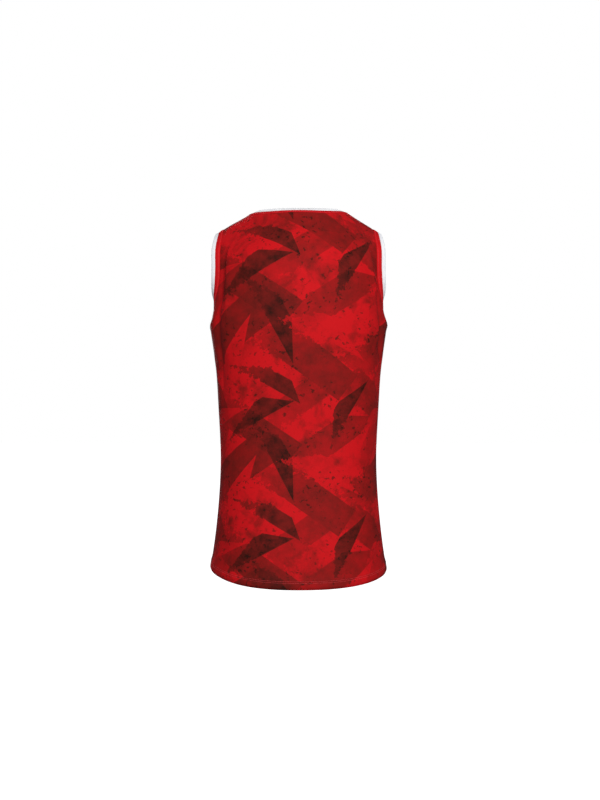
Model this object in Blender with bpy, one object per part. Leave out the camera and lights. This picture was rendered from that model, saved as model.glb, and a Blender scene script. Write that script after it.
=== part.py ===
"""A sleeveless basketball jersey in the form it has when worn, on a general figure.

Two panels are cut from printed knit and sewn at the sides and the shoulders. The neck and both
armholes are finished with a plain strip and, outside it, a folded rib. The cloth is a thin wall
whose outer face runs through rings that go round the figure, from the hem up to the neck.

Sizes are in millimetres and degrees. The wearer's front faces -Y, +X is the wearer's left, and
the origin is midway between the shoulders, where the straps rest.
"""

import math
from collections import namedtuple

import bmesh
import bpy
import numpy as np
from mathutils import Vector

MM = 0.001

# Cloth and trim
PANEL_WALL = 1.2
HEM_WALL = 2.0
HEM_TURN = 16.0
HEM_STEP = 0.3  # the height over which the hem's wall thins to the panel's
SEAM_GAP = 0.3
STRIP_WIDTH = 9.0
STRIP_WALL = 1.8
RIB_WIDTH = 9.5
RIB_WALL = 2.6
RIB_SEAM = 0.7  # the rib's outer height at its seam, as a share of its height elsewhere

# A ring goes round the body. Its side lies at side_z and half_width, its back and front centres
# at their own depths and heights. squareness is the exponent of its plan, 2 for an ellipse.
# corner_drop lowers it between the side and the centre, as behind the shoulder.
Ring = namedtuple(
    "Ring",
    "name side_z half_width back_depth back_z front_depth front_z squareness corner_drop",
)
RINGS = (
    Ring("hem", -655, 165.8, 131, -669.2, 123, -666, 2.3, 0),
    Ring("hip", -606, 158.3, 128, -614, 120, -612, 2.35, 0),
    Ring("low_waist", -535, 150.6, 119, -538, 113, -537, 2.4, 0),
    Ring("waist", -435, 146.3, 108, -435, 106, -435, 2.45, 0),
    Ring("high_waist", -345, 150.8, 109, -345, 108, -345, 2.45, 0),
    Ring("ribs", -260, 157.4, 116, -260, 113, -262, 2.45, 0),
    Ring("chest", -199, 166.6, 121, -198, 116, -214, 2.4, 0),
    Ring("underarm", -170, 165.5, 122, -170, 116, -196, 2.35, 0),
    Ring("low_armhole", -130, 160.5, 122, -130, 115, -176, 2.25, 3),
    Ring("mid_armhole", -85, 159.5, 118, -88, 113, -156, 2.2, 8),
    Ring("high_armhole", -42, 158.0, 107, -52, 111, -138, 2.1, 16),
    Ring("shoulder_end", -14.5, 141.0, 95, -29, 109, -124, 2.0, 20),
    Ring("mid_shoulder", -1.0, 117.0, 84, -12, 107, -112, 2.0, 13),
    Ring("neck_edge", 11.5, 94.5, 74, 3.7, 104, -101, 2.0, 3),
)
# How late round a ring its height changes from the side's to the back's and the front's
BACK_LIFT = 1.7
FRONT_LIFT = 2.0

# The armholes: how far behind and before the side seam they reach at mid height, and the
# exponents of their outline's lower and upper half, 2 for an ellipse
ARMHOLE_BACK = 58.0
ARMHOLE_FRONT = 66.0
UNDERARM_SQUARENESS = 3.0
SHOULDER_SQUARENESS = 2.15

# Rows of a panel's mesh, and columns from one side to the other
BODY_ROWS = 18
ARMHOLE_ROWS = 22
SHOULDER_ROWS = 3
COLUMNS = 34
CENTRE_SPREAD = 0.45  # wider columns over the middle of a panel, closer ones at its sides
EASING = 60  # rounds of evening out the mesh inside a panel's edges

# A fold runs from one angle and height to another: 0 is the wearer's left side seam, 90 the
# centre back, 180 the right side seam and 270 the centre front. It bows by its bow in degrees.
# depth is the height of a ridge, or below 0 the depth of a trough. width is its half width.
Fold = namedtuple("Fold", "name top_angle top_z low_angle low_z bow width depth")
FOLDS = (
    Fold("left_blade_trough", 40, -45, 31, -335, -6, 12, -4.5),
    Fold("left_blade_ridge", 50, -30, 41, -215, -6, 10, 2.2),
    Fold("right_underarm_trough", 158, -150, 154, -285, 1, 8, -4.5),
    Fold("right_blade_ridge", 124, 5, 152, -140, 2, 8, 1.8),
    Fold("left_front_trough", 326, -150, 331, -320, 2, 11, -4.0),
    Fold("right_front_trough", 211, -155, 206, -300, -2, 10, -4.0),
    Fold("right_front_ridge", 222, -140, 216, -270, -2, 11, 2.0),
)
FOLD_RADIUS = 140.0  # turns a fold's degrees into its distance across the cloth
FOLD_TAPER = 0.8  # the lower, the more suddenly a fold ends

# Under each arm the rib draws the cloth in
TUCK_DEPTH = 7.0
TUCK_Z = -165.0
TUCK_HEIGHT = 30.0
TUCK_ANGLE = 20.0

# How far the trims turn out from the cloth, in degrees. Below 0 they are drawn in, as the rib
# is at the underarm and behind the neck.
UNDERARM_FLARE = -10.0
BACK_FLARE = 38.0
FRONT_FLARE = 11.0
SHOULDER_FLARE = 5.0
NAPE_FLARE = -27.0
NECK_SIDE_FLARE = -9.0

PRINT_RED = (0.52, 0.012, 0.016, 1)
PLAIN_RED = (0.60, 0.010, 0.014, 1)
RIB_WHITE = (0.85, 0.86, 0.88, 1)
SHARP_ANGLE = 50.0  # edges that turn more than this stay crisp
STEP = 0.02  # for slopes of the cloth, in degrees and in millimetres along it


def spline_through(places, values):
    """The natural cubic spline through the values at these places."""
    x = np.array(places, float)
    y = np.array(values, float)
    h = np.diff(x)
    count = len(x)
    system = np.eye(count)
    right = np.zeros(count)
    for i in range(1, count - 1):
        system[i, i - 1 : i + 2] = h[i - 1], 2 * (h[i - 1] + h[i]), h[i]
        right[i] = 6 * ((y[i + 1] - y[i]) / h[i] - (y[i] - y[i - 1]) / h[i - 1])
    bend = np.linalg.solve(system, right)

    def value(place):
        i = int(np.clip(np.searchsorted(x, place) - 1, 0, count - 2))
        a = (x[i + 1] - place) / h[i]
        b = (place - x[i]) / h[i]
        curve = ((a**3 - a) * bend[i] + (b**3 - b) * bend[i + 1]) * h[i] ** 2 / 6
        return float(a * y[i] + b * y[i + 1] + curve)

    return value


def distances_up():
    """Each ring's distance up the cloth from the hem, measured at the side."""
    far = [0.0]
    for low, high in zip(RINGS, RINGS[1:]):
        rise = high.side_z - low.side_z
        far.append(far[-1] + math.hypot(rise, high.half_width - low.half_width))
    return far


UP = distances_up()
RING_UP = {ring.name: up for ring, up in zip(RINGS, UP)}
RING_CURVES = {
    field: spline_through(UP, [getattr(ring, field) for ring in RINGS])
    for field in Ring._fields[1:]
}


def plain_cloth(angle, up):
    """The point of the unfolded cloth at an angle round the body and a distance up it."""
    ring = {field: curve(up) for field, curve in RING_CURVES.items()}
    across = math.cos(math.radians(angle))
    along = math.sin(math.radians(angle))
    side, lift = ("back", BACK_LIFT) if along >= 0 else ("front", FRONT_LIFT)
    power = 2 / ring["squareness"]
    rise = (ring[side + "_z"] - ring["side_z"]) * abs(along) ** lift
    return Vector(
        (
            math.copysign(ring["half_width"] * abs(across) ** power, across),
            math.copysign(ring[side + "_depth"] * abs(along) ** power, along),
            ring["side_z"] + rise - ring["corner_drop"] * (2 * across * along) ** 2,
        )
    )


def fold_height(angle, z):
    """How far the folds lift the cloth, or sink it, at an angle and a height."""
    total = 0.0
    for fold in FOLDS:
        down = (fold.top_z - z) / (fold.top_z - fold.low_z)
        if not 0 < down < 1:
            continue
        middle = fold.top_angle + (fold.low_angle - fold.top_angle) * down
        middle += fold.bow * math.sin(math.pi * down)
        away = math.radians(angle - middle) * FOLD_RADIUS / fold.width
        total += fold.depth * math.sin(math.pi * down) ** FOLD_TAPER * math.exp(-away * away)
    return total


def tuck(angle, z):
    """How far the rib draws the cloth in under the arm."""
    from_side = (angle + 90) % 180 - 90
    near = (from_side / TUCK_ANGLE) ** 2 + ((z - TUCK_Z) / TUCK_HEIGHT) ** 2
    return TUCK_DEPTH * math.exp(-near)


def cloth(angle, up):
    """The outer point of the folded cloth, and the direction that faces out of it there."""
    point = plain_cloth(angle, up)
    round_it = plain_cloth(angle + STEP, up) - plain_cloth(angle - STEP, up)
    up_it = plain_cloth(angle, up + STEP) - plain_cloth(angle, up - STEP)
    out = round_it.cross(up_it).normalized()
    lift = fold_height(angle % 360, point.z) - tuck(angle, point.z)
    return point + out * lift, out


def armhole_row(step):
    """The distance up the cloth of a row of the armhole, its rows close at both its ends."""
    low, top = RING_UP["underarm"], RING_UP["shoulder_end"]
    return low + (top - low) * (1 - math.cos(math.pi * step / ARMHOLE_ROWS)) / 2


def armhole_angle(up, reach):
    """How far round from the side seam the armhole reaches at a row, in degrees."""
    low, top = RING_UP["underarm"], RING_UP["shoulder_end"]
    share = min(1.0, max(0.0, (up - low) / (top - low)))
    power = UNDERARM_SQUARENESS if share < 0.5 else SHOULDER_SQUARENESS
    depth = reach * (1 - abs(2 * share - 1) ** power) ** (1 / power)
    ring_depth = RING_CURVES["back_depth"](up)
    sine = (depth / ring_depth) ** (RING_CURVES["squareness"](up) / 2)
    return math.degrees(math.asin(sine))


def rows_up():
    """The distances up the cloth of all rows, from the hem to the neck."""
    underarm, top = RING_UP["underarm"], RING_UP["shoulder_end"]
    neck = RING_UP["neck_edge"]
    body = [HEM_TURN + (underarm - HEM_TURN) * i / BODY_ROWS for i in range(BODY_ROWS)]
    arm = [armhole_row(step) for step in range(ARMHOLE_ROWS)]
    shoulder = [top + (neck - top) * i / SHOULDER_ROWS for i in range(SHOULDER_ROWS + 1)]
    return [0.0, HEM_TURN - HEM_STEP] + body + arm + shoulder


def column_angles(first, last):
    """Angles from one edge of a panel to the other, wider apart over its middle."""
    angles = []
    for step in range(COLUMNS + 1):
        share = 2 * step / COLUMNS - 1
        share += CENTRE_SPREAD * math.sin(math.pi * share) / math.pi
        angles.append(first + (last - first) * (share + 1) / 2)
    return angles


def solid_object(name, points, faces, colour, roughness):
    """A closed mesh as an object with its own material. Points are in millimetres."""
    mesh = bpy.data.meshes.new(name)
    mesh.from_pydata([point * MM for point in points], [], faces)
    model = bmesh.new()
    model.from_mesh(mesh)
    bmesh.ops.recalc_face_normals(model, faces=model.faces)
    model.to_mesh(mesh)
    model.free()
    mesh.shade_smooth()
    mesh.set_sharp_from_angle(angle=math.radians(SHARP_ANGLE))
    material = bpy.data.materials.new(name)
    material.use_nodes = True
    surface = material.node_tree.nodes["Principled BSDF"]
    surface.inputs["Base Color"].default_value = colour
    surface.inputs["Roughness"].default_value = roughness
    surface.inputs["Metallic"].default_value = 0
    mesh.materials.append(material)
    thing = bpy.data.objects.new(name, mesh)
    bpy.context.scene.collection.objects.link(thing)
    return thing


def seam_side(point, facing):
    """Keeps a panel's side half a gap off the plane of the side and shoulder seams."""
    if abs(point.y) < SEAM_GAP / 2:
        point.y = math.copysign(SEAM_GAP / 2, facing)
    return point


def panel_grid(first_angle, reach):
    """The rows of a panel's mesh, each place an angle and a distance up.

    Above the turned-up hem the places inside the panel's edges are evened out.
    """
    rows = []
    for up in rows_up():
        edge = armhole_angle(up, reach)
        angles = column_angles(first_angle + edge, first_angle + 180 - edge)
        rows.append([(angle, up) for angle in angles])
    grid = np.array(rows)
    for _ in range(EASING):
        beside = grid[3:-1, 2:] + grid[3:-1, :-2]
        grid[3:-1, 1:-1] = (grid[4:, 1:-1] + grid[2:-2, 1:-1] + beside) / 4
    return grid


def panel(name, first_angle, reach):
    """A front or back panel: an outer and an inner face, joined round their edges."""
    facing = math.sin(math.radians(first_angle + 90))
    grid = panel_grid(first_angle, reach)
    rows, width = grid.shape[:2]
    outer, inner = [], []
    for angle, up in grid.reshape(-1, 2):
        wall = HEM_WALL if up < HEM_TURN - HEM_STEP / 2 else PANEL_WALL
        point, out = cloth(angle, up)
        outer.append(seam_side(point, facing))
        inner.append(seam_side(point - out * wall, facing))
    below = len(outer)
    faces = []
    for row in range(rows - 1):
        for column in range(COLUMNS):
            a = row * width + column
            quad = (a, a + 1, a + 1 + width, a + width)
            faces.append(quad)
            faces.append(tuple(below + i for i in reversed(quad)))
    border = [column for column in range(COLUMNS)]
    border += [row * width + COLUMNS for row in range(rows - 1)]
    border += [(rows - 1) * width + column for column in range(COLUMNS, 0, -1)]
    border += [row * width for row in range(rows - 1, 0, -1)]
    for a, b in zip(border, border[1:] + border[:1]):
        faces.append((b, a, below + a, below + b))
    return solid_object(name, outer + inner, faces, PRINT_RED, 0.6)


def armhole_edge(side_angle):
    """The edge loop of an armhole, from the underarm up the back and down the front.

    Each entry is a point, the cloth's outward direction, and the trim's flare there.
    """
    turn = 1 if side_angle == 0 else -1
    loop = []
    for step in range(2 * ARMHOLE_ROWS):
        behind = step <= ARMHOLE_ROWS
        reach = ARMHOLE_BACK if behind else -ARMHOLE_FRONT
        up = armhole_row(step)
        edge = math.copysign(armhole_angle(up, abs(reach)), reach)
        point, out = cloth(side_angle + turn * edge, up)
        height = -math.cos(math.pi * step / ARMHOLE_ROWS)
        middle = BACK_FLARE if behind else FRONT_FLARE
        end = UNDERARM_FLARE if height < 0 else SHOULDER_FLARE
        flare = middle + (end - middle) * height**2
        loop.append((point, out, flare))
    return loop


def neck_edge():
    """The edge loop of the neck, once round."""
    loop = []
    for first in (0, 180):
        for angle in column_angles(first, first + 180)[:-1]:
            point, out = cloth(angle, RING_UP["neck_edge"])
            behind = max(0.0, math.sin(math.radians(angle)))
            beside = math.cos(math.radians(angle)) ** 2
            loop.append((point, out, NAPE_FLARE * behind + NECK_SIDE_FLARE * beside))
    return loop


def trim(name, loop, section, colour, roughness):
    """A band swept round an edge loop.

    A point of its section is a distance off the edge and a height over the wall's middle. The
    flare turns the band about the seam, where its end stays square to the panel's edge.
    """
    centre = sum((point for point, _, _ in loop), Vector()) / len(loop)
    points = []
    for i, (point, out, flare) in enumerate(loop):
        along = (loop[(i + 1) % len(loop)][0] - loop[i - 1][0]).normalized()
        off = along.cross(out).normalized()
        if off.dot(centre - point) < 0:
            off = -off
        out = out - along * out.dot(along)
        out.normalize()
        turned = math.radians(flare)
        off_turned = off * math.cos(turned) + out * math.sin(turned)
        out_turned = out * math.cos(turned) - off * math.sin(turned)
        start = point - out * PANEL_WALL / 2 + off * SEAM_GAP
        for away, height in section:
            upright = out_turned if away > 0 else out
            points.append(start + off_turned * away + upright * height)
    corners = len(section)
    faces = []
    for i in range(len(loop)):
        j = (i + 1) % len(loop)
        for a in range(corners):
            b = (a + 1) % corners
            if section[a][1] < section[b][1]:
                a, b = b, a
            high, low = i * corners + a, i * corners + b
            next_high, next_low = j * corners + a, j * corners + b
            faces.append((high, low, next_low))
            faces.append((high, next_low, next_high))
    return solid_object(name, points, faces, colour, roughness)


def strip_section():
    """The plain strip, flat, with one end square to the panel's edge."""
    half = STRIP_WALL / 2
    return ((0, half), (STRIP_WIDTH, half), (STRIP_WIDTH, -half), (0, -half))


def rib_section():
    """The rib, folded over and so round at its free edge."""
    near = STRIP_WIDTH + SEAM_GAP
    far = near + RIB_WIDTH
    half = RIB_WALL / 2
    return (
        (near, half * RIB_SEAM),
        (near + half, half),
        (far - half, half),
        (far, 0),
        (far - half, -half),
        (near, -half),
    )


for thing in list(bpy.data.objects):
    bpy.data.objects.remove(thing)

panel("back_panel", 0, ARMHOLE_BACK)
panel("front_panel", 180, ARMHOLE_FRONT)
for place, loop in (
    ("neck", neck_edge()),
    ("left_armhole", armhole_edge(0)),
    ("right_armhole", armhole_edge(180)),
):
    trim(place + "_strip", loop, strip_section(), PLAIN_RED, 0.6)
    trim(place + "_rib", loop, rib_section(), RIB_WHITE, 0.7)
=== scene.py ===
import math
from collections import namedtuple

import bmesh
import bpy
import numpy as np
from mathutils import Matrix, Vector, kdtree
from mathutils.bvhtree import BVHTree


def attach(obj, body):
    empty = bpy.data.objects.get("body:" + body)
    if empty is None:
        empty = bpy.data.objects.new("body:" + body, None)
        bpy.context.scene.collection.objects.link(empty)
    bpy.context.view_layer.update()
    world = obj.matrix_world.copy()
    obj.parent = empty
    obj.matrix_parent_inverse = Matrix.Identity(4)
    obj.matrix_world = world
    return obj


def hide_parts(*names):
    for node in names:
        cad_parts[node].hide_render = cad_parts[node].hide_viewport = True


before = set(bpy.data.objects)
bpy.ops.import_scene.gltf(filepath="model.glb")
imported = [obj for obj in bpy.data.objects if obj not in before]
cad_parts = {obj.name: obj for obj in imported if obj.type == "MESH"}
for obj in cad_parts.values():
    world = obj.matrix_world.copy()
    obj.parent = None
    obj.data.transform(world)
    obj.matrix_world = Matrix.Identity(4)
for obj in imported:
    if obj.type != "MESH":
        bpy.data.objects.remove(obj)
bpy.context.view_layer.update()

# ---- The two panels ----
# The front and the back are each cut in one piece from a light polyester knit. The face is dye-printed
# all over and the reverse stays paler. They are sewn together at the sides and the shoulders, with the
# edges turned in, and the hem is turned up and stitched down.
MM = 0.001
CLOTH = 0.6 * MM
MERGE = 0.02 * MM
ROUND_THE_RIM = math.radians(50)
CORNER = math.radians(135)
MIDDLE_OF_PANEL = 60 * MM
FLAT_BESIDE_SEAM = 16 * MM
SEAM_HALF_GAP = 0.03 * MM
NEAR_SEAM = 0.5 * MM
BESIDE_NECK = 120 * MM

HEM_LEVEL = -650 * MM
HEM_SLOPE = 0.3
HEM_FOLD = 1.2 * MM
HEM_ROWS = (12.7 * MM, 15.6 * MM)
HEM_FINER = 23 * MM
HEM_LAYERS = 24 * MM
LEFT_AT_HEM = 0.1

# How the cloth goes on past a cut edge: a distance past it and a depth below the face, in mm. The hem
# goes round half a circle and back up inside, where the two rows of stitches hold it.
Turn = namedtuple("Turn", "past under")
SEAM_TURN = (
    Turn(-0.9, 0.0),
    Turn(-0.45, 0.1),
    Turn(-0.12, 0.4),
    Turn(0.0, 0.9),
    Turn(0.12, 2.4),
    Turn(0.12, 4.5),
)
TRIM_TURN = (
    Turn(-0.6, 0.0),
    Turn(-0.22, 0.1),
    Turn(0.05, 0.36),
    Turn(0.14, 0.75),
    Turn(0.14, 1.4),
)
HEM_TURN = [
    Turn(HEM_FOLD / MM * (math.sin(angle) - 1), HEM_FOLD / MM * (1 - math.cos(angle)))
    for angle in [math.pi * step / 8 for step in range(9)]
]
HEM_TURN += [Turn(-4.0, 2.3), Turn(-8.0, 1.6), Turn(-12.7, 0.65), Turn(-16.0, 0.9)]

# The hem's own relief: height above the hem's fold and how far the face stands out there, in mm
Swell = namedtuple("Swell", "up out")
HEM_SWELLS = (
    Swell(0.0, -1.3),
    Swell(1.5, -0.35),
    Swell(3.2, 0.55),
    Swell(5.5, 1.05),
    Swell(8.5, 1.15),
    Swell(11.3, 1.1),
    Swell(12.7, 0.75),
    Swell(14.1, 1.2),
    Swell(15.6, 0.95),
    Swell(17.0, 1.3),
    Swell(20.0, 0.8),
    Swell(24.0, 0.25),
    Swell(29.0, 0.0),
)

# The jersey sits a little unevenly on its wearer: the neck is higher on the right, the cloth is drawn
# out at both underarm corners, and the hem rides up at the left side seam and hangs lower on the right.
# Each pull moves the cloth at its place by its move, and less and less round it, over its reach in x, y
# and z. All are in mm. Past PULL_END reaches nothing moves.
Pull = namedtuple("Pull", "place reach move")
PULL_END = 3
PULLS = (
    Pull((-92, 0, 4), (26, 90, 30), (0, 0, 2.6)),
    Pull((-60, 0, 8), (26, 90, 30), (0, 0, 1.2)),
    Pull((-166, 0, -196), (30, 30, 9), (-2.6, 0, 0)),
    Pull((166, 0, -199), (30, 30, 9), (1.5, 0, 0)),
    Pull((165, 0, -668), (48, 160, 70), (0, 0, 3.6)),
    Pull((-120, 0, -668), (60, 160, 70), (0, 0, -1.6)),
)

# A crease runs from its top to its low end, in mm on the flat panel: u from the centre line, to the
# right as seen from outside, and v up from the shoulders' level. It bows sideways by its bow.
# height is that of a ridge, or below 0 a trough's. The two flanks have their own widths.
Crease = namedtuple("Crease", "top_u top_v low_u low_v bow left_width right_width height")
BACK_CREASES = (
    Crease(-112, -14, -124, -196, -13, 4, 7, 2.4),
    Crease(-140, -54, -160, -350, -3, 6, 5, -2.0),
    Crease(111, 34, 152, -134, -11, 6, 4, 2.9),
    Crease(150, -128, 187, -276, -5, 6, 6, -5.6),
    Crease(-160, -184, -240, -190, 0, 8, 9, 1.7),
    Crease(-164, -220, -240, -226, 0, 12, 12, -1.6),
    Crease(166, -183, 240, -187, 0, 7, 16, 2.0),
    Crease(170, -220, 240, -224, 0, 12, 12, -1.6),
    Crease(-205, -190, -128, -270, 6, 9, 7, -1.2),
    Crease(-212, -214, -134, -336, 5, 8, 9, -1.0),
    Crease(198, -200, 132, -262, -5, 7, 9, -1.0),
    Crease(-60, -205, 40, -238, -7, 14, 12, -0.8),
    Crease(-20, -395, 110, -372, 6, 15, 12, -0.9),
    Crease(-186, -404, -70, -446, -6, 13, 11, -1.1),
    Crease(186, -436, 60, -472, 5, 12, 14, -1.0),
    Crease(-200, -352, -120, -372, 4, 9, 11, -0.9),
    Crease(-150, -560, -162, -672, 4, 14, 16, -1.6),
    Crease(-52, -575, -60, -674, -4, 20, 18, 1.2),
    Crease(66, -560, 78, -674, 5, 18, 20, 1.3),
    Crease(158, -548, 170, -672, -4, 15, 13, -1.5),
)
FRONT_CREASES = (
    Crease(-186, -150, -158, -330, 5, 10, 13, -2.6),
    Crease(176, -154, 152, -300, -5, 11, 9, -2.4),
    Crease(-166, -184, -240, -188, 0, 14, 8, 1.7),
    Crease(160, -184, 240, -190, 0, 8, 12, 1.7),
    Crease(-166, -220, -240, -226, 0, 12, 12, -1.4),
    Crease(168, -221, 240, -225, 0, 12, 12, -1.4),
    Crease(-150, -150, -96, -236, 6, 9, 8, -1.2),
    Crease(160, -172, 92, -250, -7, 8, 10, -1.2),
    Crease(-70, -128, -20, -190, 7, 11, 14, -1.0),
    Crease(76, -130, 30, -205, -6, 12, 10, -0.9),
    Crease(-110, -380, 30, -408, -6, 14, 12, -1.0),
    Crease(150, -416, 20, -446, 6, 12, 15, -1.0),
    Crease(-140, -556, -152, -670, 4, 15, 14, -1.5),
    Crease(-24, -570, -32, -670, -4, 20, 19, 1.2),
    Crease(84, -566, 96, -671, 5, 17, 20, 1.2),
    Crease(162, -552, 172, -668, -4, 13, 15, -1.4),
)


def pick(piece):
    bpy.ops.object.select_all(action="DESELECT")
    piece.select_set(True)
    bpy.context.view_layer.objects.active = piece


def copy_of_node(node, name):
    """A copy of a CAD node to work on, with its triangles merged into one surface of quads."""
    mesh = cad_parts[node].data.copy()
    mesh.materials.clear()
    piece = bpy.data.objects.new(name, mesh)
    bpy.context.scene.collection.objects.link(piece)
    pick(piece)
    bpy.ops.mesh.customdata_custom_splitnormals_clear()
    bpy.ops.object.mode_set(mode="EDIT")
    bpy.ops.mesh.select_all(action="SELECT")
    bpy.ops.mesh.remove_doubles(threshold=MERGE)
    bpy.ops.mesh.tris_convert_to_quads(
        face_threshold=math.pi, shape_threshold=math.pi, topology_influence=2
    )
    bpy.ops.object.mode_set(mode="OBJECT")
    return piece


def keep_the_face(panel, facing):
    """Leaves only the panel's outer face, out to its rim."""
    pick(panel)
    bpy.ops.object.mode_set(mode="EDIT")
    bpy.ops.mesh.select_mode(type="FACE")
    bpy.ops.mesh.select_all(action="DESELECT")
    model = bmesh.from_edit_mesh(panel.data)
    middle = max(model.faces, key=lambda face: face.calc_center_median().y * facing)
    middle.select = True
    bmesh.update_edit_mesh(panel.data)
    bpy.ops.mesh.faces_select_linked_flat(sharpness=ROUND_THE_RIM)
    bpy.ops.mesh.select_all(action="INVERT")
    bpy.ops.mesh.delete(type="FACE")
    bpy.ops.object.mode_set(mode="OBJECT")


def lay_flat(panel, facing):
    """Unwraps the panel to its flat cut, in metres from the centre line and the shoulders' level."""
    pick(panel)
    bpy.ops.object.mode_set(mode="EDIT")
    bpy.ops.mesh.select_all(action="SELECT")
    bpy.ops.uv.unwrap(method="ANGLE_BASED", margin=0)
    bpy.ops.object.mode_set(mode="OBJECT")
    mesh = panel.data
    cut = mesh.uv_layers.active
    cut.name = "cut"
    spots = np.array([loop.uv[:] for loop in cut.data])
    owners = np.array([loop.vertex_index for loop in mesh.loops])
    worn = np.array([vertex.co[:] for vertex in mesh.vertices])[owners]
    middle = np.abs(worn[:, 0]) < MIDDLE_OF_PANEL
    flat = spots[:, 0] + 1j * spots[:, 1]
    seen = -facing * worn[:, 0] + 1j * worn[:, 2]
    from_flat = flat[middle] - flat[middle].mean()
    scale = np.vdot(from_flat, seen[middle]) / np.vdot(from_flat, from_flat)
    flat = scale * (flat - flat[middle].mean()) + seen[middle].mean()
    for loop, spot in zip(cut.data, flat):
        loop.uv = spot.real, spot.imag


def select_if(piece, kind, wanted):
    """Leaves the piece in edit mode with the vertices, edges or faces that pass a test selected."""
    pick(piece)
    bpy.ops.object.mode_set(mode="EDIT")
    bpy.ops.mesh.select_mode(type=kind)
    bpy.ops.mesh.select_all(action="DESELECT")
    model = bmesh.from_edit_mesh(piece.data)
    for item in {"VERT": model.verts, "EDGE": model.edges, "FACE": model.faces}[kind]:
        item.select = bool(wanted(item))
    model.select_flush_mode()
    bmesh.update_edit_mesh(piece.data)


def is_corner(vertex):
    rim = [edge.other_vert(vertex).co - vertex.co for edge in vertex.link_edges if edge.is_boundary]
    return len(rim) == 2 and rim[0].angle(rim[1]) < CORNER


def subdivide(piece, levels):
    select_if(piece, "VERT", is_corner)
    bpy.ops.transform.vert_crease(value=1)
    bpy.ops.object.mode_set(mode="OBJECT")
    smooth = piece.modifiers.new("finer", "SUBSURF")
    smooth.levels = levels
    smooth.render_levels = levels
    smooth.boundary_smooth = "PRESERVE_CORNERS"
    bpy.ops.object.modifier_apply(modifier=smooth.name)


def settle(piece):
    """Applies the pulls to all of a piece's vertices."""
    for vertex in piece.data.vertices:
        start = vertex.co / MM
        for pull in PULLS:
            far = sum(((start[i] - pull.place[i]) / pull.reach[i]) ** 2 for i in range(3))
            if far < PULL_END**2:
                vertex.co += Vector(pull.move) * MM * math.exp(-far)


def crease_lift(u, v, crease):
    """How far one crease moves the cloth out at places on the flat panel, in mm."""
    top = np.array((crease.top_u, crease.top_v))
    run = np.array((crease.low_u, crease.low_v)) - top
    length = np.hypot(*run)
    run = run / length
    down = ((u - top[0]) * run[0] + (v - top[1]) * run[1]) / length
    side = (u - top[0]) * -run[1] + (v - top[1]) * run[0]
    inside = np.clip(down, 0, 1)
    side = side - crease.bow * np.sin(math.pi * inside)
    width = np.where(side < 0, crease.left_width, crease.right_width)
    return crease.height * np.sin(math.pi * inside) ** 0.8 * np.exp(-((side / width) ** 2))


def is_hem(edge):
    a, b = (vertex.co for vertex in edge.verts)
    return min(a.z, b.z) < HEM_LEVEL and abs(a.z - b.z) < HEM_SLOPE * (a - b).length


def is_seam(edge):
    return all(abs(vertex.co.y) < NEAR_SEAM for vertex in edge.verts) and not is_hem(edge)


def tree_of(places):
    tree = kdtree.KDTree(len(places))
    for number, place in enumerate(places):
        tree.insert(place, number)
    tree.balance()
    return tree


def crease_cloth(panel, creases):
    """Lays the creases into the cloth. They die out towards its sewn edges."""
    model = bmesh.new()
    model.from_mesh(panel.data)
    cut = model.loops.layers.uv.active
    sewn = [edge for edge in model.edges if edge.is_boundary and not is_hem(edge)]
    seams = tree_of([vertex.co.copy() for edge in sewn for vertex in edge.verts])
    flat = np.array([vertex.link_loops[0][cut].uv[:] for vertex in model.verts]) / MM
    lift = sum(crease_lift(flat[:, 0], flat[:, 1], crease) for crease in creases)
    outward = [vertex.normal.copy() for vertex in model.verts]
    away = [seams.find(vertex.co)[2] / FLAT_BESIDE_SEAM for vertex in model.verts]
    for vertex, normal, height, share in zip(model.verts, outward, lift, away):
        share = min(1.0, share)
        vertex.co += normal * (float(height) * MM * share * share * (3 - 2 * share))
    model.to_mesh(panel.data)
    model.free()


def finer_hem(panel):
    """Cuts the cloth finer where the hem is stitched and folded."""
    model = bmesh.new()
    model.from_mesh(panel.data)
    edges = [edge for edge in model.edges if edge.is_boundary and is_hem(edge)]
    hem = tree_of([vertex.co.copy() for edge in edges for vertex in edge.verts])
    model.free()
    select_if(panel, "FACE", lambda face: hem.find(face.calc_center_median())[2] < HEM_FINER)
    bpy.ops.mesh.subdivide(number_cuts=2)
    bpy.ops.object.mode_set(mode="OBJECT")


Frame = namedtuple("Frame", "across outward flat across_flat")


def frames_beside(model, edges):
    """At each vertex of the open edges, the way on past the edge, the way out, and both when flat."""
    cut = model.loops.layers.uv.active
    across, across_flat, flat = {}, {}, {}
    for edge in edges:
        corner = edge.link_loops[0]
        ends = corner, corner.link_loop_next
        run = ends[1].vert.co - ends[0].vert.co
        run_flat = ends[1][cut].uv - ends[0][cut].uv
        for end in ends:
            across[end.vert] = across.get(end.vert, Vector()) + run.cross(corner.face.normal)
            past_flat = Vector((run_flat.y, -run_flat.x))
            across_flat[end.vert] = across_flat.get(end.vert, Vector((0, 0))) + past_flat
            flat[end.vert] = end[cut].uv.copy()
    frames = {}
    for vertex, on in across.items():
        on_flat = across_flat[vertex].normalized()
        frames[vertex] = Frame(on.normalized(), vertex.normal.copy(), flat[vertex], on_flat)
    return frames


DRAWN_REACH = 5
RIM_STEP = 3 * MM


def draw_back(model, frames, back):
    """Draws the cloth back from its open edges, less and less over DRAWN_REACH times that distance."""
    rim = list(frames)
    tree = tree_of([vertex.co.copy() for vertex in rim])
    reach = DRAWN_REACH * back
    moves = []
    for vertex in model.verts:
        nearest, number, distance = tree.find(vertex.co)
        across = frames[rim[number]].across
        share = 1 - max(0, (nearest - vertex.co).dot(across)) / reach
        if share > 0 and distance < reach + RIM_STEP:
            moves.append((vertex, across * -back * share))
    for vertex, move in moves:
        vertex.co += move


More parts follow.
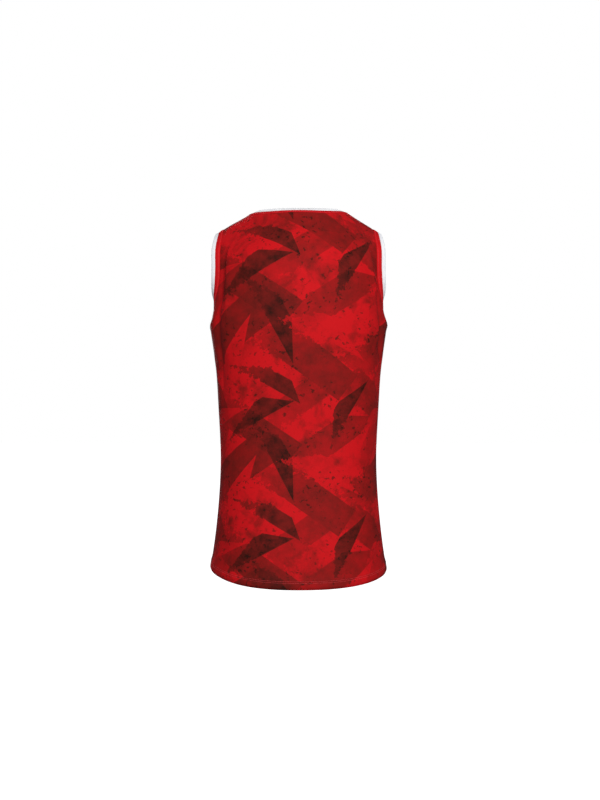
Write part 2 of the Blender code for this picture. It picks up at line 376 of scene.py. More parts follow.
def tuck_at_hem(frames, hem):
    """How much of a seam's turned-in edge is left at each place: little where the hem covers it."""
    fold = tree_of([vertex.co.copy() for vertex in hem])
    ups = {vertex: min(1.0, fold.find(vertex.co)[2] / HEM_LAYERS) for vertex in frames}
    return {vertex: LEFT_AT_HEM + (1 - LEFT_AT_HEM) * up**3 for vertex, up in ups.items()}


def fold_edges(model, edges, turns, frames, shares):
    """Carries the cloth on past open edges, round a fold. The first turn moves the edge itself.

    Of the depth below the cloth's own thickness, only each vertex's own share is left."""
    cut = model.loops.layers.uv.active
    corners = [edge.link_loops[0] for edge in edges]
    ends = [(corner.vert, corner.link_loop_next.vert) for corner in corners]
    start = {vertex: vertex.co.copy() for vertex in frames}
    last = {vertex: vertex for vertex in frames}
    gone = 0.0
    for number, turn in enumerate(turns):
        place = {}
        for vertex, beside in frames.items():
            under = turn.under * MM
            under = min(under, CLOTH) + max(0.0, under - CLOTH) * shares.get(vertex, 1.0)
            place[vertex] = start[vertex] + beside.across * turn.past * MM - beside.outward * under
        if number == 0:
            draw_back(model, frames, -turn.past * MM)
            continue
        before = turns[number - 1]
        step = math.hypot(turn.past - before.past, turn.under - before.under) * MM
        row = {vertex: model.verts.new(place[vertex]) for vertex in start}
        for a, b in ends:
            strip = model.faces.new((last[b], last[a], row[a], row[b]))
            strip.smooth = True
            for loop, vertex, far in zip(strip.loops, (b, a, a, b), (0, 0, step, step)):
                loop[cut].uv = frames[vertex].flat + frames[vertex].across_flat * (gone + far)
        last = row
        gone += step


def swell_hem(model, hem):
    """Rounds the hem's band out above its fold, with a groove along each row of stitches."""
    fold = tree_of([vertex.co.copy() for vertex in hem])
    ups = [swell.up for swell in HEM_SWELLS]
    outs = [swell.out for swell in HEM_SWELLS]
    outward = [(vertex, vertex.normal.copy(), fold.find(vertex.co)[2] / MM) for vertex in model.verts]
    for vertex, normal, up in outward:
        if up < ups[-1]:
            vertex.co += normal * (float(np.interp(up, ups, outs)) * MM)


def turn_edges(panel):
    """Turns in the edges at the seams and under the trims, and turns up the hem.

    Gives the line of each opening and of the hem, as a place, the way out and the way across."""
    model = bmesh.new()
    model.from_mesh(panel.data)
    model.normal_update()
    open_edges = [edge for edge in model.edges if edge.is_boundary]
    hem = [edge for edge in open_edges if is_hem(edge)]
    seams = [edge for edge in open_edges if is_seam(edge)]
    trimmed = [edge for edge in open_edges if not is_hem(edge) and not is_seam(edge)]
    at_seams, at_trims, at_hem = (frames_beside(model, edges) for edges in (seams, trimmed, hem))
    found = {"neck": [], "left_armhole": [], "right_armhole": [], "hem": []}
    for vertex, beside in at_trims.items():
        opening = "left_armhole" if vertex.co.x > 0 else "right_armhole"
        opening = opening if abs(vertex.co.x) > BESIDE_NECK else "neck"
        found[opening].append((vertex.co.copy(), beside.outward, beside.across))
    for vertex, beside in at_hem.items():
        found["hem"].append((vertex.co.copy(), beside.outward, beside.across))
    swell_hem(model, at_hem)
    fold_edges(model, seams, SEAM_TURN, at_seams, tuck_at_hem(at_seams, at_hem))
    fold_edges(model, trimmed, TRIM_TURN, at_trims, {})
    fold_edges(model, hem, HEM_TURN, at_hem, {})
    model.to_mesh(panel.data)
    model.free()
    return found


def give_wall(piece, thickness):
    """Gives a sheet its thickness, inward, with its reverse in the second material."""
    pick(piece)
    wall = piece.modifiers.new("wall", "SOLIDIFY")
    wall.thickness = thickness
    wall.offset = -1
    wall.material_offset = 1
    bpy.ops.object.modifier_apply(modifier=wall.name)


# The knit's print: torn shards of darker and lighter ink laid over bright red, as a repeat. A shard's
# centre is in mm on the repeat and turn is in degrees. Its half length, half width, lean and taper make
# it a bar, a wedge or a triangle. tone runs from 0, near black, to 1, bright red, and ink is how much
# of that shows. Its left end is torn by so many mm and loses the share fade of its ink.
REPEAT_WIDTH = 330
REPEAT_HEIGHT = 252
Shard = namedtuple("Shard", "u v turn half_length half_width lean taper tone ink torn fade")
SHARDS = (
    Shard(-70, 60, 33, 118, 34, 0.6, 0.00, 0.30, 0.85, 34, 0.5),
    Shard(78, 20, -35, 96, 30, -0.7, 0.20, 0.34, 0.80, 30, 0.5),
    Shard(120, 118, 34, 88, 26, 0.3, 0.35, 0.42, 0.75, 26, 0.4),
    Shard(-30, 150, -34, 104, 27, -0.5, 0.10, 0.32, 0.85, 32, 0.6),
    Shard(70, 196, 36, 74, 24, 0.9, 0.30, 0.50, 0.70, 20, 0.3),
    Shard(-130, 206, -30, 66, 30, 0.5, 0.55, 0.40, 0.75, 24, 0.5),
    Shard(-110, 120, 62, 60, 20, -0.3, 0.40, 0.62, 0.70, 14, 0.5),
    Shard(30, 92, -62, 54, 18, 0.2, 0.60, 0.11, 0.85, 14, 0.4),
    Shard(-58, 22, 74, 40, 22, 0.3, 0.90, 0.95, 0.90, 12, 0.2),
    Shard(112, 70, -24, 46, 20, 0.4, 0.85, 0.95, 0.85, 16, 0.2),
    Shard(-10, 176, 28, 44, 18, -0.6, 0.80, 0.08, 0.80, 12, 0.2),
    Shard(150, 180, 58, 40, 16, 0.2, 0.80, 0.12, 0.85, 12, 0.2),
    Shard(-96, 168, 24, 34, 15, 0.4, 0.85, 0.92, 0.85, 12, 0.2),
    Shard(20, 232, -30, 48, 15, -0.4, 0.50, 0.10, 0.80, 18, 0.3),
)

# The inks, from near black to bright red, each with the tone that it stands for. SPATTER is how dark
# the small drops are that lie over everything.
Ink = namedtuple("Ink", "tone colour")
INKS = (
    Ink(0.06, (0.030, 0.0062, 0.0036, 1)),
    Ink(0.30, (0.175, 0.0095, 0.0070, 1)),
    Ink(0.55, (0.315, 0.0085, 0.0080, 1)),
    Ink(0.80, (0.490, 0.0075, 0.0095, 1)),
    Ink(0.97, (0.630, 0.0070, 0.0105, 1)),
)
SPATTER = 0.65


def make(tree, kind, **settings):
    node = tree.nodes.new("ShaderNode" + kind)
    for name, value in settings.items():
        setattr(node, name, value)
    return node


def feed(tree, socket, source):
    """Links a socket to another node's, or sets it to a value."""
    if isinstance(source, bpy.types.NodeSocket):
        tree.links.new(source, socket)
    else:
        socket.default_value = source


def work_out(tree, operation, *sources, clamp=False):
    node = make(tree, "Math", operation=operation, use_clamp=clamp)
    for socket, source in zip(node.inputs, sources):
        feed(tree, socket, source)
    return node.outputs[0]


def range_of(tree, value, low, high, to_low=0.0, to_high=1.0):
    node = make(tree, "MapRange", interpolation_type="SMOOTHSTEP")
    for socket, source in zip(node.inputs, (value, low, high, to_low, to_high)):
        feed(tree, socket, source)
    return node.outputs[0]


def noise(tree, place, size, detail, rough, bend=0.0):
    """Noise whose features are about size metres across."""
    node = make(tree, "TexNoise")
    feed(tree, node.inputs["Vector"], place)
    node.inputs["Scale"].default_value = 1 / size
    node.inputs["Detail"].default_value = detail
    node.inputs["Roughness"].default_value = rough
    node.inputs["Distortion"].default_value = bend
    return node.outputs["Fac"]


def move(tree, place, offset, turn=0.0):
    node = make(tree, "Mapping")
    feed(tree, node.inputs["Vector"], place)
    node.inputs["Location"].default_value = offset
    node.inputs["Rotation"].default_value = (0, 0, turn)
    return node.outputs["Vector"]


def new_group(name, takes, gives):
    """An empty node group, with its inputs and the socket that its result goes to."""
    tree = bpy.data.node_groups.new(name, "ShaderNodeTree")
    for socket, kind in takes:
        tree.interface.new_socket(socket, in_out="INPUT", socket_type="NodeSocket" + kind)
    tree.interface.new_socket(gives[0], in_out="OUTPUT", socket_type="NodeSocket" + gives[1])
    given = tree.nodes.new("NodeGroupInput").outputs
    result = tree.nodes.new("NodeGroupOutput").inputs[gives[0]]
    return tree, given, result


def shard_group():
    """Lays one shard over the print so far, as tones from 0 to 1."""
    numbers = ("Before", "Tear", "Turn", "Length", "Width", "Lean", "Narrowing", "Tone", "Ink", "Torn")
    takes = [("Place", "Vector"), ("Centre", "Vector")] + [(name, "Float") for name in numbers]
    tree, given, result = new_group("shard", takes + [("Fade", "Float")], ("After", "Float"))
    from_centre = make(tree, "VectorMath", operation="SUBTRACT")
    feed(tree, from_centre.inputs[0], given["Place"])
    feed(tree, from_centre.inputs[1], given["Centre"])
    wrapped = make(tree, "VectorMath", operation="WRAP")
    feed(tree, wrapped.inputs[0], from_centre.outputs[0])
    wrapped.inputs[1].default_value = (REPEAT_WIDTH / 2, REPEAT_HEIGHT / 2, 1)
    wrapped.inputs[2].default_value = (-REPEAT_WIDTH / 2, -REPEAT_HEIGHT / 2, -1)
    turned = make(tree, "VectorRotate", rotation_type="Z_AXIS")
    feed(tree, turned.inputs["Vector"], wrapped.outputs[0])
    feed(tree, turned.inputs["Angle"], work_out(tree, "MULTIPLY", given["Turn"], -1))
    apart = make(tree, "SeparateXYZ")
    feed(tree, apart.inputs[0], turned.outputs[0])
    along, across = apart.outputs[0], apart.outputs[1]
    leant = work_out(tree, "MULTIPLY_ADD", across, given["Lean"], along)
    reach = work_out(tree, "MULTIPLY_ADD", across, given["Narrowing"], given["Length"])
    to_end = work_out(tree, "SUBTRACT", reach, work_out(tree, "ABSOLUTE", leant))
    to_side = work_out(tree, "SUBTRACT", given["Width"], work_out(tree, "ABSOLUTE", across))
    inside = work_out(tree, "MINIMUM", to_end, to_side)
    leftward = range_of(tree, work_out(tree, "DIVIDE", leant, given["Length"]), 0.1, -0.9)
    torn = work_out(tree, "MULTIPLY", work_out(tree, "MULTIPLY", given["Torn"], leftward), given["Tear"])
    mask = range_of(tree, work_out(tree, "ADD", inside, torn), 0.0, 1.5)
    lost = work_out(tree, "MULTIPLY", given["Fade"], leftward)
    share = work_out(tree, "MULTIPLY", given["Ink"], work_out(tree, "SUBTRACT", 1.0, lost))
    share = work_out(tree, "MULTIPLY", share, mask)
    change = work_out(tree, "SUBTRACT", given["Tone"], given["Before"])
    feed(tree, result, work_out(tree, "MULTIPLY_ADD", change, share, given["Before"]))
    return tree


def print_group():
    """The print's colour at a place on the flat cloth."""
    tree, given, result = new_group("print", [("Place", "Vector")], ("Colour", "Color"))
    place = given["Place"]
    in_mm = make(tree, "VectorMath", operation="SCALE")
    feed(tree, in_mm.inputs[0], place)
    in_mm.inputs["Scale"].default_value = 1 / MM
    elsewhere = move(tree, place, (0.3, 0.1, 0), turn=0.5)
    smoke = noise(tree, elsewhere, size=48 * MM, detail=6, rough=0.6, bend=0.5)
    tone = range_of(tree, smoke, 0.44, 0.74, 1.0, 0.42)
    tear = work_out(tree, "SUBTRACT", noise(tree, place, size=10 * MM, detail=6, rough=0.72), 0.5)
    tear = work_out(tree, "MULTIPLY", tear, 5)
    shard = shard_group()
    for row in SHARDS:
        node = make(tree, "Group", node_tree=shard)
        feed(tree, node.inputs["Place"], in_mm.outputs[0])
        feed(tree, node.inputs["Tear"], tear)
        feed(tree, node.inputs["Before"], tone)
        values = {
            "Centre": (row.u, row.v, 0),
            "Turn": math.radians(row.turn),
            "Length": row.half_length,
            "Width": row.half_width,
            "Lean": row.lean,
            "Narrowing": -row.half_length * row.taper / row.half_width,
            "Tone": row.tone,
            "Ink": row.ink,
            "Torn": row.torn,
            "Fade": row.fade,
        }
        for name, value in values.items():
            node.inputs[name].default_value = value
        tone = node.outputs["After"]
    mottle = noise(tree, place, size=26 * MM, detail=5, rough=0.68)
    mottle = range_of(tree, mottle, 0.3, 0.72, to_low=0.1, to_high=-0.12)
    tone = work_out(tree, "ADD", tone, mottle, clamp=True)
    patch = range_of(tree, noise(tree, place, size=55 * MM, detail=2, rough=0.5), 0.44, 0.58)
    drops = range_of(tree, noise(tree, place, size=8.5 * MM, detail=4, rough=0.62), 0.575, 0.62)
    spatter = work_out(tree, "MULTIPLY", work_out(tree, "MULTIPLY", patch, drops), SPATTER)
    tone = work_out(tree, "MULTIPLY", tone, work_out(tree, "SUBTRACT", 1.0, spatter))
    inks = make(tree, "ValToRGB")
    stops = inks.color_ramp.elements
    stops[0].position, stops[0].color = INKS[0]
    stops[1].position, stops[1].color = INKS[-1]
    for ink in INKS[1:-1]:
        stops.new(ink.tone).color = ink.colour
    feed(tree, inks.inputs[0], tone)
    feed(tree, result, inks.outputs["Color"])
    return tree


WALE = 0.95 * MM
COURSE = 0.8 * MM


def knit_height(tree, place, wale, course):
    """The relief of a fine plain knit: columns of small V-shaped loops."""
    apart = make(tree, "SeparateXYZ")
    feed(tree, apart.inputs[0], place)
    u, v = apart.outputs[0], apart.outputs[1]
    zigzag = work_out(tree, "PINGPONG", u, wale / 2)
    row = work_out(tree, "MULTIPLY_ADD", zigzag, 0.9, v)
    loops = work_out(tree, "SINE", work_out(tree, "MULTIPLY", row, math.tau / course))
    columns = work_out(tree, "COSINE", work_out(tree, "MULTIPLY", u, math.tau / wale))
    return work_out(tree, "MULTIPLY_ADD", columns, -0.6, loops)


def cloth_material(name, roughness, sheen):
    """A knit's material, with its tree, its surface shader and the place on the flat cut."""
    material = bpy.data.materials.new(name)
    material.use_nodes = True
    tree = material.node_tree
    surface = tree.nodes["Principled BSDF"]
    surface.inputs["Roughness"].default_value = roughness
    surface.inputs["Sheen Weight"].default_value = sheen
    surface.inputs["Sheen Roughness"].default_value = 0.5
    surface.inputs["Specular IOR Level"].default_value = 0.08
    place = make(tree, "UVMap", uv_map="cut").outputs["UV"]
    return material, tree, surface, place


def knit_bump(tree, surface, place, strength, wale=WALE, course=COURSE):
    bump = make(tree, "Bump")
    feed(tree, bump.inputs["Height"], knit_height(tree, place, wale, course))
    bump.inputs["Strength"].default_value = strength
    bump.inputs["Distance"].default_value = 0.05 * MM
    feed(tree, surface.inputs["Normal"], bump.outputs["Normal"])


PRINT = print_group()
KNIT_DEPTH = 0.5
INK_THROUGH = 0.45
WHITE_YARN = (0.78, 0.36, 0.36, 1)


def printed_face(name, offset):
    material, tree, surface, place = cloth_material(name, 0.7, 0.0)
    colour = make(tree, "Group", node_tree=PRINT)
    feed(tree, colour.inputs["Place"], move(tree, place, offset))
    feed(tree, surface.inputs["Base Color"], colour.outputs["Colour"])
    knit_bump(tree, surface, place, KNIT_DEPTH)
    return material


def pale_reverse(name, offset):
    """The reverse: white yarn with the face's ink showing through."""
    material, tree, surface, place = cloth_material(name, 0.8, 0.0)
    colour = make(tree, "Group", node_tree=PRINT)
    feed(tree, colour.inputs["Place"], move(tree, place, offset))
    mix = make(tree, "Mix", data_type="RGBA")
    mix.inputs["Factor"].default_value = INK_THROUGH
    feed(tree, mix.inputs[6], colour.outputs["Colour"])
    mix.inputs[7].default_value = WHITE_YARN
    feed(tree, surface.inputs["Base Color"], mix.outputs[2])
    knit_bump(tree, surface, place, KNIT_DEPTH)
    return material


panels = {}
rims = {"neck": [], "left_armhole": [], "right_armhole": [], "hem": []}
for node, facing, creases, offset in (
    ("back_panel", 1, BACK_CREASES, (0.065, 0.020, 0)),
    ("front_panel", -1, FRONT_CREASES, (0.163, 0.121, 0)),
):
    panel = copy_of_node(node, node + "_cloth")
    keep_the_face(panel, facing)
    lay_flat(panel, facing)
    subdivide(panel, 2)
    settle(panel)
    crease_cloth(panel, creases)
    finer_hem(panel)
    for vertex in panel.data.vertices:
        if abs(vertex.co.y) < NEAR_SEAM:
            vertex.co.y = facing * SEAM_HALF_GAP
    for opening, line in turn_edges(panel).items():
        rims[opening] += line
    panel.data.materials.append(printed_face(node + "_print", offset))
    panel.data.materials.append(pale_reverse(node + "_reverse", offset))
    give_wall(panel, CLOTH)
    panel.data.shade_smooth()
    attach(panel, "root")
    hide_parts(node)
    panels[node] = panel

# ---- Neck and armhole strips ----
# A narrow band of the same knit, dyed plain bright red, is sewn to the panels' edges all round the
# neck and each armhole. Its own edges are turned in at both of its seams. A width is given as its two
# distances from the rim, which is the panels' sewn edge: those of the solid, and those of the cloth.
SOLID_STRIP = (0.3 * MM, 9.3 * MM)
STRIP = {"neck": (0.08 * MM, 9.3 * MM), "armhole": (0.08 * MM, 10.0 * MM)}
STRIP_CORNER = 0.45 * MM
STRIP_CROWN = 0.5 * MM
RIM_SPAN = 4
RING_SLOPE = 0.3
BAND_WALL = 4 * MM
SHARP = math.radians(30)
STRIP_DARKER = (0.56, 0.0062, 0.0095, 1)
STRIP_LIGHTER = (0.66, 0.0080, 0.0120, 1)

# A rim's places in order, with the ways out, across and along it there, and the distance to each.
Rim = namedtuple("Rim", "places outward across runs along length tree")


def order_rim(found, axes):
    """A rim as one closed line, with the distance along it of each of its places."""
    places = np.array([place[:] for place, _, _ in found])
    around = (places - places.mean(axis=0))[:, axes]
    order = np.argsort(np.arctan2(around[:, 1], around[:, 0]))
    places = places[order]
    steps = np.linalg.norm(np.roll(places, -1, axis=0) - places, axis=1)
    along = np.concatenate(([0.0], np.cumsum(steps)))
    outward = [found[i][1] for i in order]
    across = [found[i][2] for i in order]
    places = [Vector(place) for place in places]
    runs = [(places[(i + 1) % len(places)] - places[i - 1]).normalized() for i in range(len(places))]
    return Rim(places, outward, across, runs, along, along[-1], tree_of(places))


def beside_rim(rim, place):
    """How far along a rim and away from it a place lies, and the rim's own point there."""
    _, nearest, away = rim.tree.find(place)
    count = len(rim.places)
    best = away + MM, rim.along[nearest], rim.places[nearest]
    for number in range(nearest - RIM_SPAN, nearest + RIM_SPAN):
        before, after = number % count, (number + 1) % count
        start, end = rim.places[before], rim.places[after]
        past_start = (place - start).dot(rim.runs[before])
        past_end = (place - end).dot(rim.runs[after])
        if past_start >= 0 > past_end:
            share = past_start / (past_start - past_end)
            point = start.lerp(end, share)
            away = (place - point).length
            if away < best[0]:
                best = away, rim.along[before] + share * (end - start).length, point
    away, along, point = best
    return along, away, point


def turn_between(rim, a, b):
    """The shorter way round a rim from one distance along it to another."""
    return (b - a + rim.length / 2) % rim.length - rim.length / 2


# The rings of faces that a band is cut finer by. The long ones are halved first, so that all end up
# about as fine as each other.
Ring = namedtuple("Ring", "shortest longest cuts")
LONG_RING = Ring(11 * MM, 99 * MM, 1)
SHORT_RING = Ring(0, 3 * MM, 2)


def trim_band(node, rim, cuts_along, cuts_across, corner, corner_cuts):
    """A trim's solid as a smooth band, with its long corners rounded."""
    band = copy_of_node(node, node + "_cloth")
    settle(band)

    def run_of(edge):
        """How far an edge runs along the rim, or 0 for one that runs across the band."""
        a, b = (beside_rim(rim, vertex.co)[0] for vertex in edge.verts)
        run = abs(turn_between(rim, a, b))
        return run if run > RING_SLOPE * edge.calc_length() else 0.0

    select_if(band, "EDGE", lambda edge: run_of(edge) == 0 and edge.calc_length() > BAND_WALL)
    bpy.ops.mesh.subdivide(number_cuts=cuts_across)
    bpy.ops.object.mode_set(mode="OBJECT")
    for ring in LONG_RING, SHORT_RING, Ring(SHORT_RING.longest, LONG_RING.longest, cuts_along):
        select_if(band, "EDGE", lambda edge: ring.shortest < run_of(edge) < ring.longest)
        bpy.ops.mesh.subdivide_edgering(number_cuts=ring.cuts, interpolation="SURFACE")
        bpy.ops.object.mode_set(mode="OBJECT")
    select_if(band, "EDGE", lambda edge: edge.calc_face_angle(0) > SHARP)
    bpy.ops.mesh.bevel(offset=corner, segments=corner_cuts, affect="EDGES")
    bpy.ops.object.mode_set(mode="OBJECT")
    return band


def lay_along(band, rim, stretch=1.0):
    """Unwraps a band: u along the rim and v away from it, in metres. Gives each vertex's place."""
    spots = [beside_rim(rim, vertex.co)[:2] for vertex in band.data.vertices]
    cut = band.data.uv_layers.get("cut") or band.data.uv_layers.new(name="cut")
    for face in band.data.polygons:
        first = spots[band.data.loops[face.loop_start].vertex_index][0]
        for loop in face.loop_indices:
            along, away = spots[band.data.loops[loop].vertex_index]
            cut.data[loop].uv = (first + turn_between(rim, first, along)) * stretch, away
    return spots


def push_out(piece, heights):
    """Moves each vertex along its normal by its own height."""
    outward = [vertex.normal.copy() for vertex in piece.data.vertices]
    for vertex, normal, height in zip(piece.data.vertices, outward, heights):
        vertex.co += normal * height


def fit_across(band, rim, was, becomes):
    """Draws a band up to its seams: its two edges move to other distances from the rim."""
    for vertex in band.data.vertices:
        _, away, point = beside_rim(rim, vertex.co)
        fitted = becomes[0] + (away - was[0]) * (becomes[1] - becomes[0]) / (was[1] - was[0])
        vertex.co += (vertex.co - point).normalized() * (fitted - away)


def plain_red(name):
    material, tree, surface, place = cloth_material(name, 0.7, 0.0)
    shade = range_of(tree, noise(tree, place, size=14 * MM, detail=4, rough=0.6), 0.3, 0.7)
    mix = make(tree, "Mix", data_type="RGBA")
    feed(tree, mix.inputs["Factor"], shade)
    mix.inputs[6].default_value = STRIP_DARKER
    mix.inputs[7].default_value = STRIP_LIGHTER
    feed(tree, surface.inputs["Base Color"], mix.outputs[2])
    knit_bump(tree, surface, place, KNIT_DEPTH)
    return material


SEEN_ROUND = {"neck": (0, 1), "left_armhole": (1, 2), "right_armhole": (1, 2), "hem": (0, 1)}
for opening, found in rims.items():
    rims[opening] = order_rim(found, SEEN_ROUND[opening])
hem_rim = rims.pop("hem")

strip_red = plain_red("strip_red")
strips = {}
for opening, rim in rims.items():
    node = opening + "_strip"
    strip = trim_band(node, rim, cuts_along=6, cuts_across=3, corner=STRIP_CORNER, corner_cuts=2)
    low, high = STRIP[opening.split("_")[-1]]
    fit_across(strip, rim, SOLID_STRIP, (low, high))
    spots = lay_along(strip, rim)
    shares = [min(1, max(0, (away - low) / (high - low))) for _, away in spots]
    push_out(strip, [STRIP_CROWN * math.sin(math.pi * share) ** 2 for share in shares])
    strip.data.materials.append(strip_red)
    strip.data.shade_smooth()
    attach(strip, "root")
    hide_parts(node)
    strips[opening] = strip

# ---- Neck and armhole ribs ----
# Outside each strip a band of white rib knit is folded in two along its middle, and both of its raw
# edges are caught in the strip's seam. It is cut short and stretched as it is sewn, so it hugs the body.
SOLID_RIB = (9.6 * MM, 19.1 * MM)
RIB = {"neck": (9.35 * MM, 19.5 * MM), "armhole": (10.05 * MM, 17.8 * MM)}
RIB_CORNER = 0.8 * MM
RIB_PITCH = 2.1 * MM
RIB_COURSE = 1.1 * MM
RIB_DEPTH = 0.28 * MM
PLAIN_AT_SEAM = 0.5 * MM
DEEPER_OVER = 1.2 * MM
LESS_AT_FOLD = 1.6 * MM
LEFT_AT_FOLD = 0.3
RIB_DARKER = (0.86, 0.86, 0.89, 1)
RIB_LIGHTER = (0.93, 0.93, 0.94, 1)


def white_rib(name):
    material, tree, surface, place = cloth_material(name, 0.8, 0.0)
    shade = range_of(tree, noise(tree, place, size=9 * MM, detail=3, rough=0.5), 0.3, 0.7)
    mix = make(tree, "Mix", data_type="RGBA")
    feed(tree, mix.inputs["Factor"], shade)
    mix.inputs[6].default_value = RIB_DARKER
    mix.inputs[7].default_value = RIB_LIGHTER
    feed(tree, surface.inputs["Base Color"], mix.outputs[2])
    knit_bump(tree, surface, place, 0.4, wale=RIB_PITCH, course=RIB_COURSE)
    return material


rib_white = white_rib("rib_white")
for opening, rim in rims.items():
    node = opening + "_rib"
    rib = trim_band(node, rim, cuts_along=19, cuts_across=1, corner=RIB_CORNER, corner_cuts=3)
    low, high = RIB[opening.split("_")[-1]]
    fit_across(rib, rim, SOLID_RIB, (low, high))
    wales = round(rim.length / RIB_PITCH)
    spots = lay_along(rib, rim, stretch=wales * RIB_PITCH / rim.length)
    heights = []
    for along, away in spots:
        fade = min(1.0, max(0.0, (away - low - PLAIN_AT_SEAM) / DEEPER_OVER))
        fade *= min(1.0, max(LEFT_AT_FOLD, (high - away) / LESS_AT_FOLD))
        heights.append(RIB_DEPTH * fade * math.cos(math.tau * wales * along / rim.length))
    push_out(rib, heights)
    rib.data.materials.append(rib_white)
    rib.data.shade_smooth()
    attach(rib, "root")
    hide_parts(node)

# ---- Stitches ----
# Polyester thread, dyed red like the strips but lighter and pinker; part of that lightness is a painted
# highlight, so that each row of stitches reads as a light line. A twin needle runs two rows round the
# hem, just inside the edge that is turned up, and one row holds each strip's seam flat.
STITCH_PITCH = 2.9 * MM
STITCH_LENGTH = 2.55 * MM
STITCH_WIDTH = 0.62 * MM
STRIP_ROW = 1.9 * MM
REACH = 6 * MM
# The darker thread red is painted shade in the grooves between the plies, and the lighter is a painted
# highlight on their crests. Both are lighter than the strips, in part as a painted highlight on the
# rows.
THREAD_RED_PAINTED_SHADE = (0.56, 0.032, 0.036, 1)
THREAD_RED_PAINTED_HIGHLIGHT = (0.78, 0.080, 0.088, 1)


def row_on(pieces, rim, past, pitch):
    """Places a stitch apart along a rim and past it, on whichever of the pieces lies there."""
    surfaces = []
    for piece in pieces:
        corners = [vertex.co for vertex in piece.data.vertices]
        surfaces.append(BVHTree.FromPolygons(corners, [face.vertices for face in piece.data.polygons]))
    spots = []
    count = round(rim.length / pitch)
    for number in range(count):
        at = rim.length * number / count
        before = int(np.searchsorted(rim.along, at, side="right")) - 1
        after = (before + 1) % len(rim.places)
        share = (at - rim.along[before]) / max(rim.along[before + 1] - rim.along[before], 1e-9)
        place = rim.places[before].lerp(rim.places[after], share)
        out = rim.outward[before].lerp(rim.outward[after], share).normalized()
        across = rim.across[before].lerp(rim.across[after], share).normalized()
        start = place + across * past + out * REACH
        hits = [surface.ray_cast(start, -out, 2 * REACH) for surface in surfaces]
        hits = [hit for hit in hits if hit[0] is not None]
        if hits:
            nearest = min(hits, key=lambda hit: hit[3])
            spots.append((nearest[0], nearest[1]))
    return spots


def sew(name, stitch, rows):
    """Copies one stitch to every place of some rows, each copy turned along its row."""
    model = bmesh.new()
    for row in rows:
        for number, (place, out) in enumerate(row):
            along = row[(number + 1) % len(row)][0] - row[number - 1][0]
            side = out.cross(along).normalized()
            along = side.cross(out)
            turned = Matrix((along, side, out)).transposed().to_4x4()
            first = len(model.verts)
            model.from_mesh(stitch)
            model.verts.ensure_lookup_table()
            copied = model.verts[first:]
            bmesh.ops.transform(model, matrix=Matrix.Translation(place) @ turned, verts=copied)
    mesh = bpy.data.meshes.new(name)
    model.to_mesh(mesh)
    model.free()
    piece = bpy.data.objects.new(name, mesh)
    bpy.context.scene.collection.objects.link(piece)
    return piece


def thread(name, darker, lighter):
    """Two-ply thread: its plies wind round it in slanting bands, in its bump and in its colour. The
    colour is painted shade and painted highlight: darker in the grooves between the plies, lighter on
    their crests.
    """
    material = bpy.data.materials.new(name)
    material.use_nodes = True
    tree = material.node_tree
    surface = tree.nodes["Principled BSDF"]
    surface.inputs["Roughness"].default_value = 0.5
    surface.inputs["Specular IOR Level"].default_value = 0.2
    around = make(tree, "UVMap", uv_map="UVMap").outputs["UV"]
    apart = make(tree, "SeparateXYZ")
    feed(tree, apart.inputs[0], around)
    slant = work_out(tree, "MULTIPLY_ADD", apart.outputs[1], 3.0, apart.outputs[0])
    plies = work_out(tree, "SINE", work_out(tree, "MULTIPLY", slant, 2 * math.tau))
    # Painted shade and highlight: the colour follows the plies' height, darker in the grooves and
    # lighter on the crests.
    mix = make(tree, "Mix", data_type="RGBA")
    feed(tree, mix.inputs["Factor"], range_of(tree, plies, -1.0, 1.0))
    mix.inputs[6].default_value = darker
    mix.inputs[7].default_value = lighter
    feed(tree, surface.inputs["Base Color"], mix.outputs[2])
    bump = make(tree, "Bump")
    feed(tree, bump.inputs["Height"], plies)
    bump.inputs["Strength"].default_value = 0.4
    bump.inputs["Distance"].default_value = 0.08 * MM
    feed(tree, surface.inputs["Normal"], bump.outputs["Normal"])
    return material


bpy.ops.object.select_all(action="DESELECT")
bpy.ops.mesh.primitive_uv_sphere_add(segments=8, ring_count=6, radius=0.5)
stitch = bpy.context.active_object
bpy.ops.object.mode_set(mode="EDIT")
bpy.ops.mesh.select_all(action="SELECT")
bpy.ops.transform.rotate(value=math.pi / 2, orient_axis="Y", center_override=(0, 0, 0))
bpy.ops.transform.resize(value=(STITCH_LENGTH, STITCH_WIDTH, STITCH_WIDTH * 0.8))
bpy.ops.mesh.faces_shade_smooth()
bpy.ops.object.mode_set(mode="OBJECT")
red_thread = thread("red_thread", THREAD_RED_PAINTED_SHADE, THREAD_RED_PAINTED_HIGHLIGHT)
hem_rows = [row_on(panels.values(), hem_rim, -up, STITCH_PITCH) for up in HEM_ROWS]
strip_rows = [row_on([strips[name]], rims[name], STRIP_ROW, STITCH_PITCH) for name in strips]
for name, rows in (("hem_stitches", hem_rows), ("strip_stitches", strip_rows)):
    sewn = sew(name, stitch.data, rows)
    sewn.data.materials.append(red_thread)
    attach(sewn, "root")
bpy.data.objects.remove(stitch)

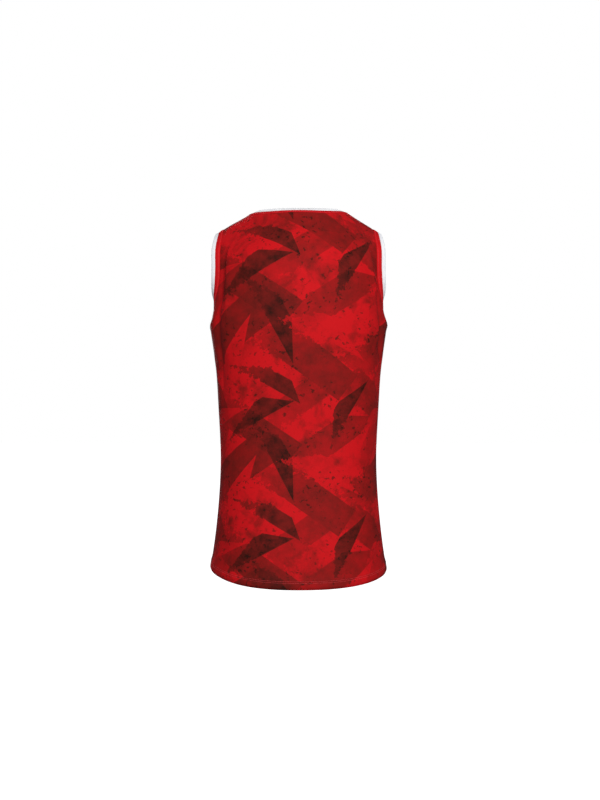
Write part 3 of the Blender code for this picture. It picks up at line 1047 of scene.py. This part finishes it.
# ---- Studio ----
# A white floor well below the jersey, as far down as its wearer would stand, in a white room that gives
# only a faint even light. A large soft lamp in front of the jersey and one behind it light it.
FLOOR = -1.4
bpy.ops.object.select_all(action="DESELECT")
bpy.ops.mesh.primitive_plane_add(size=40, location=(0, 0, FLOOR))
floor = bpy.context.active_object
floor.name = "floor"
bpy.ops.object.transform_apply(location=True, rotation=True, scale=True)
paper = bpy.data.materials.new("white_floor")
paper.use_nodes = True
surface = paper.node_tree.nodes["Principled BSDF"]
surface.inputs["Base Color"].default_value = (0.9, 0.9, 0.9, 1)
surface.inputs["Roughness"].default_value = 0.9
surface.inputs["Emission Color"].default_value = (1, 1, 1, 1)
surface.inputs["Emission Strength"].default_value = 1.0
floor.data.materials.append(paper)
floor.visible_diffuse = False
floor.visible_glossy = False

world = bpy.data.worlds.new("white_room")
bpy.context.scene.world = world
world.use_nodes = True
tree = world.node_tree
room = tree.nodes["Background"]
room.inputs["Color"].default_value = (0.92, 0.95, 1.0, 1)
room.inputs["Strength"].default_value = 0.22
backdrop = make(tree, "Background")
backdrop.inputs["Color"].default_value = (1, 1, 1, 1)
backdrop.inputs["Strength"].default_value = 1.0
choose = make(tree, "MixShader")
feed(tree, choose.inputs[0], make(tree, "LightPath").outputs["Is Camera Ray"])
feed(tree, choose.inputs[1], room.outputs[0])
feed(tree, choose.inputs[2], backdrop.outputs[0])
feed(tree, tree.nodes["World Output"].inputs[0], choose.outputs[0])

Light = namedtuple("Light", "name place size power")
MIDDLE = Vector((0, 0, -0.30))
for light in (
    Light("back_key", (-0.40, 2.6, 0.60), 2.0, 68),
    Light("front_key", (0.35, -2.6, 0.60), 2.0, 68),
):
    bpy.ops.object.light_add(type="AREA", location=light.place)
    lamp = bpy.context.active_object
    lamp.name = light.name
    lamp.data.size = light.size
    lamp.data.energy = light.power
    towards = MIDDLE - Vector(light.place)
    lamp.rotation_euler = towards.to_track_quat("-Z", "Y").to_euler()

camera_data = bpy.data.cameras.new("camera")
camera_data.lens = 40.48
camera_data.sensor_width = 36
camera = bpy.data.objects.new("camera", camera_data)
bpy.context.scene.collection.objects.link(camera)
camera.location = (-0.0028, 1.7, -0.3364)
camera.rotation_euler = (math.radians(90), 0, math.radians(180))
bpy.context.scene.camera = camera
bpy.context.scene.view_settings.view_transform = "Standard"
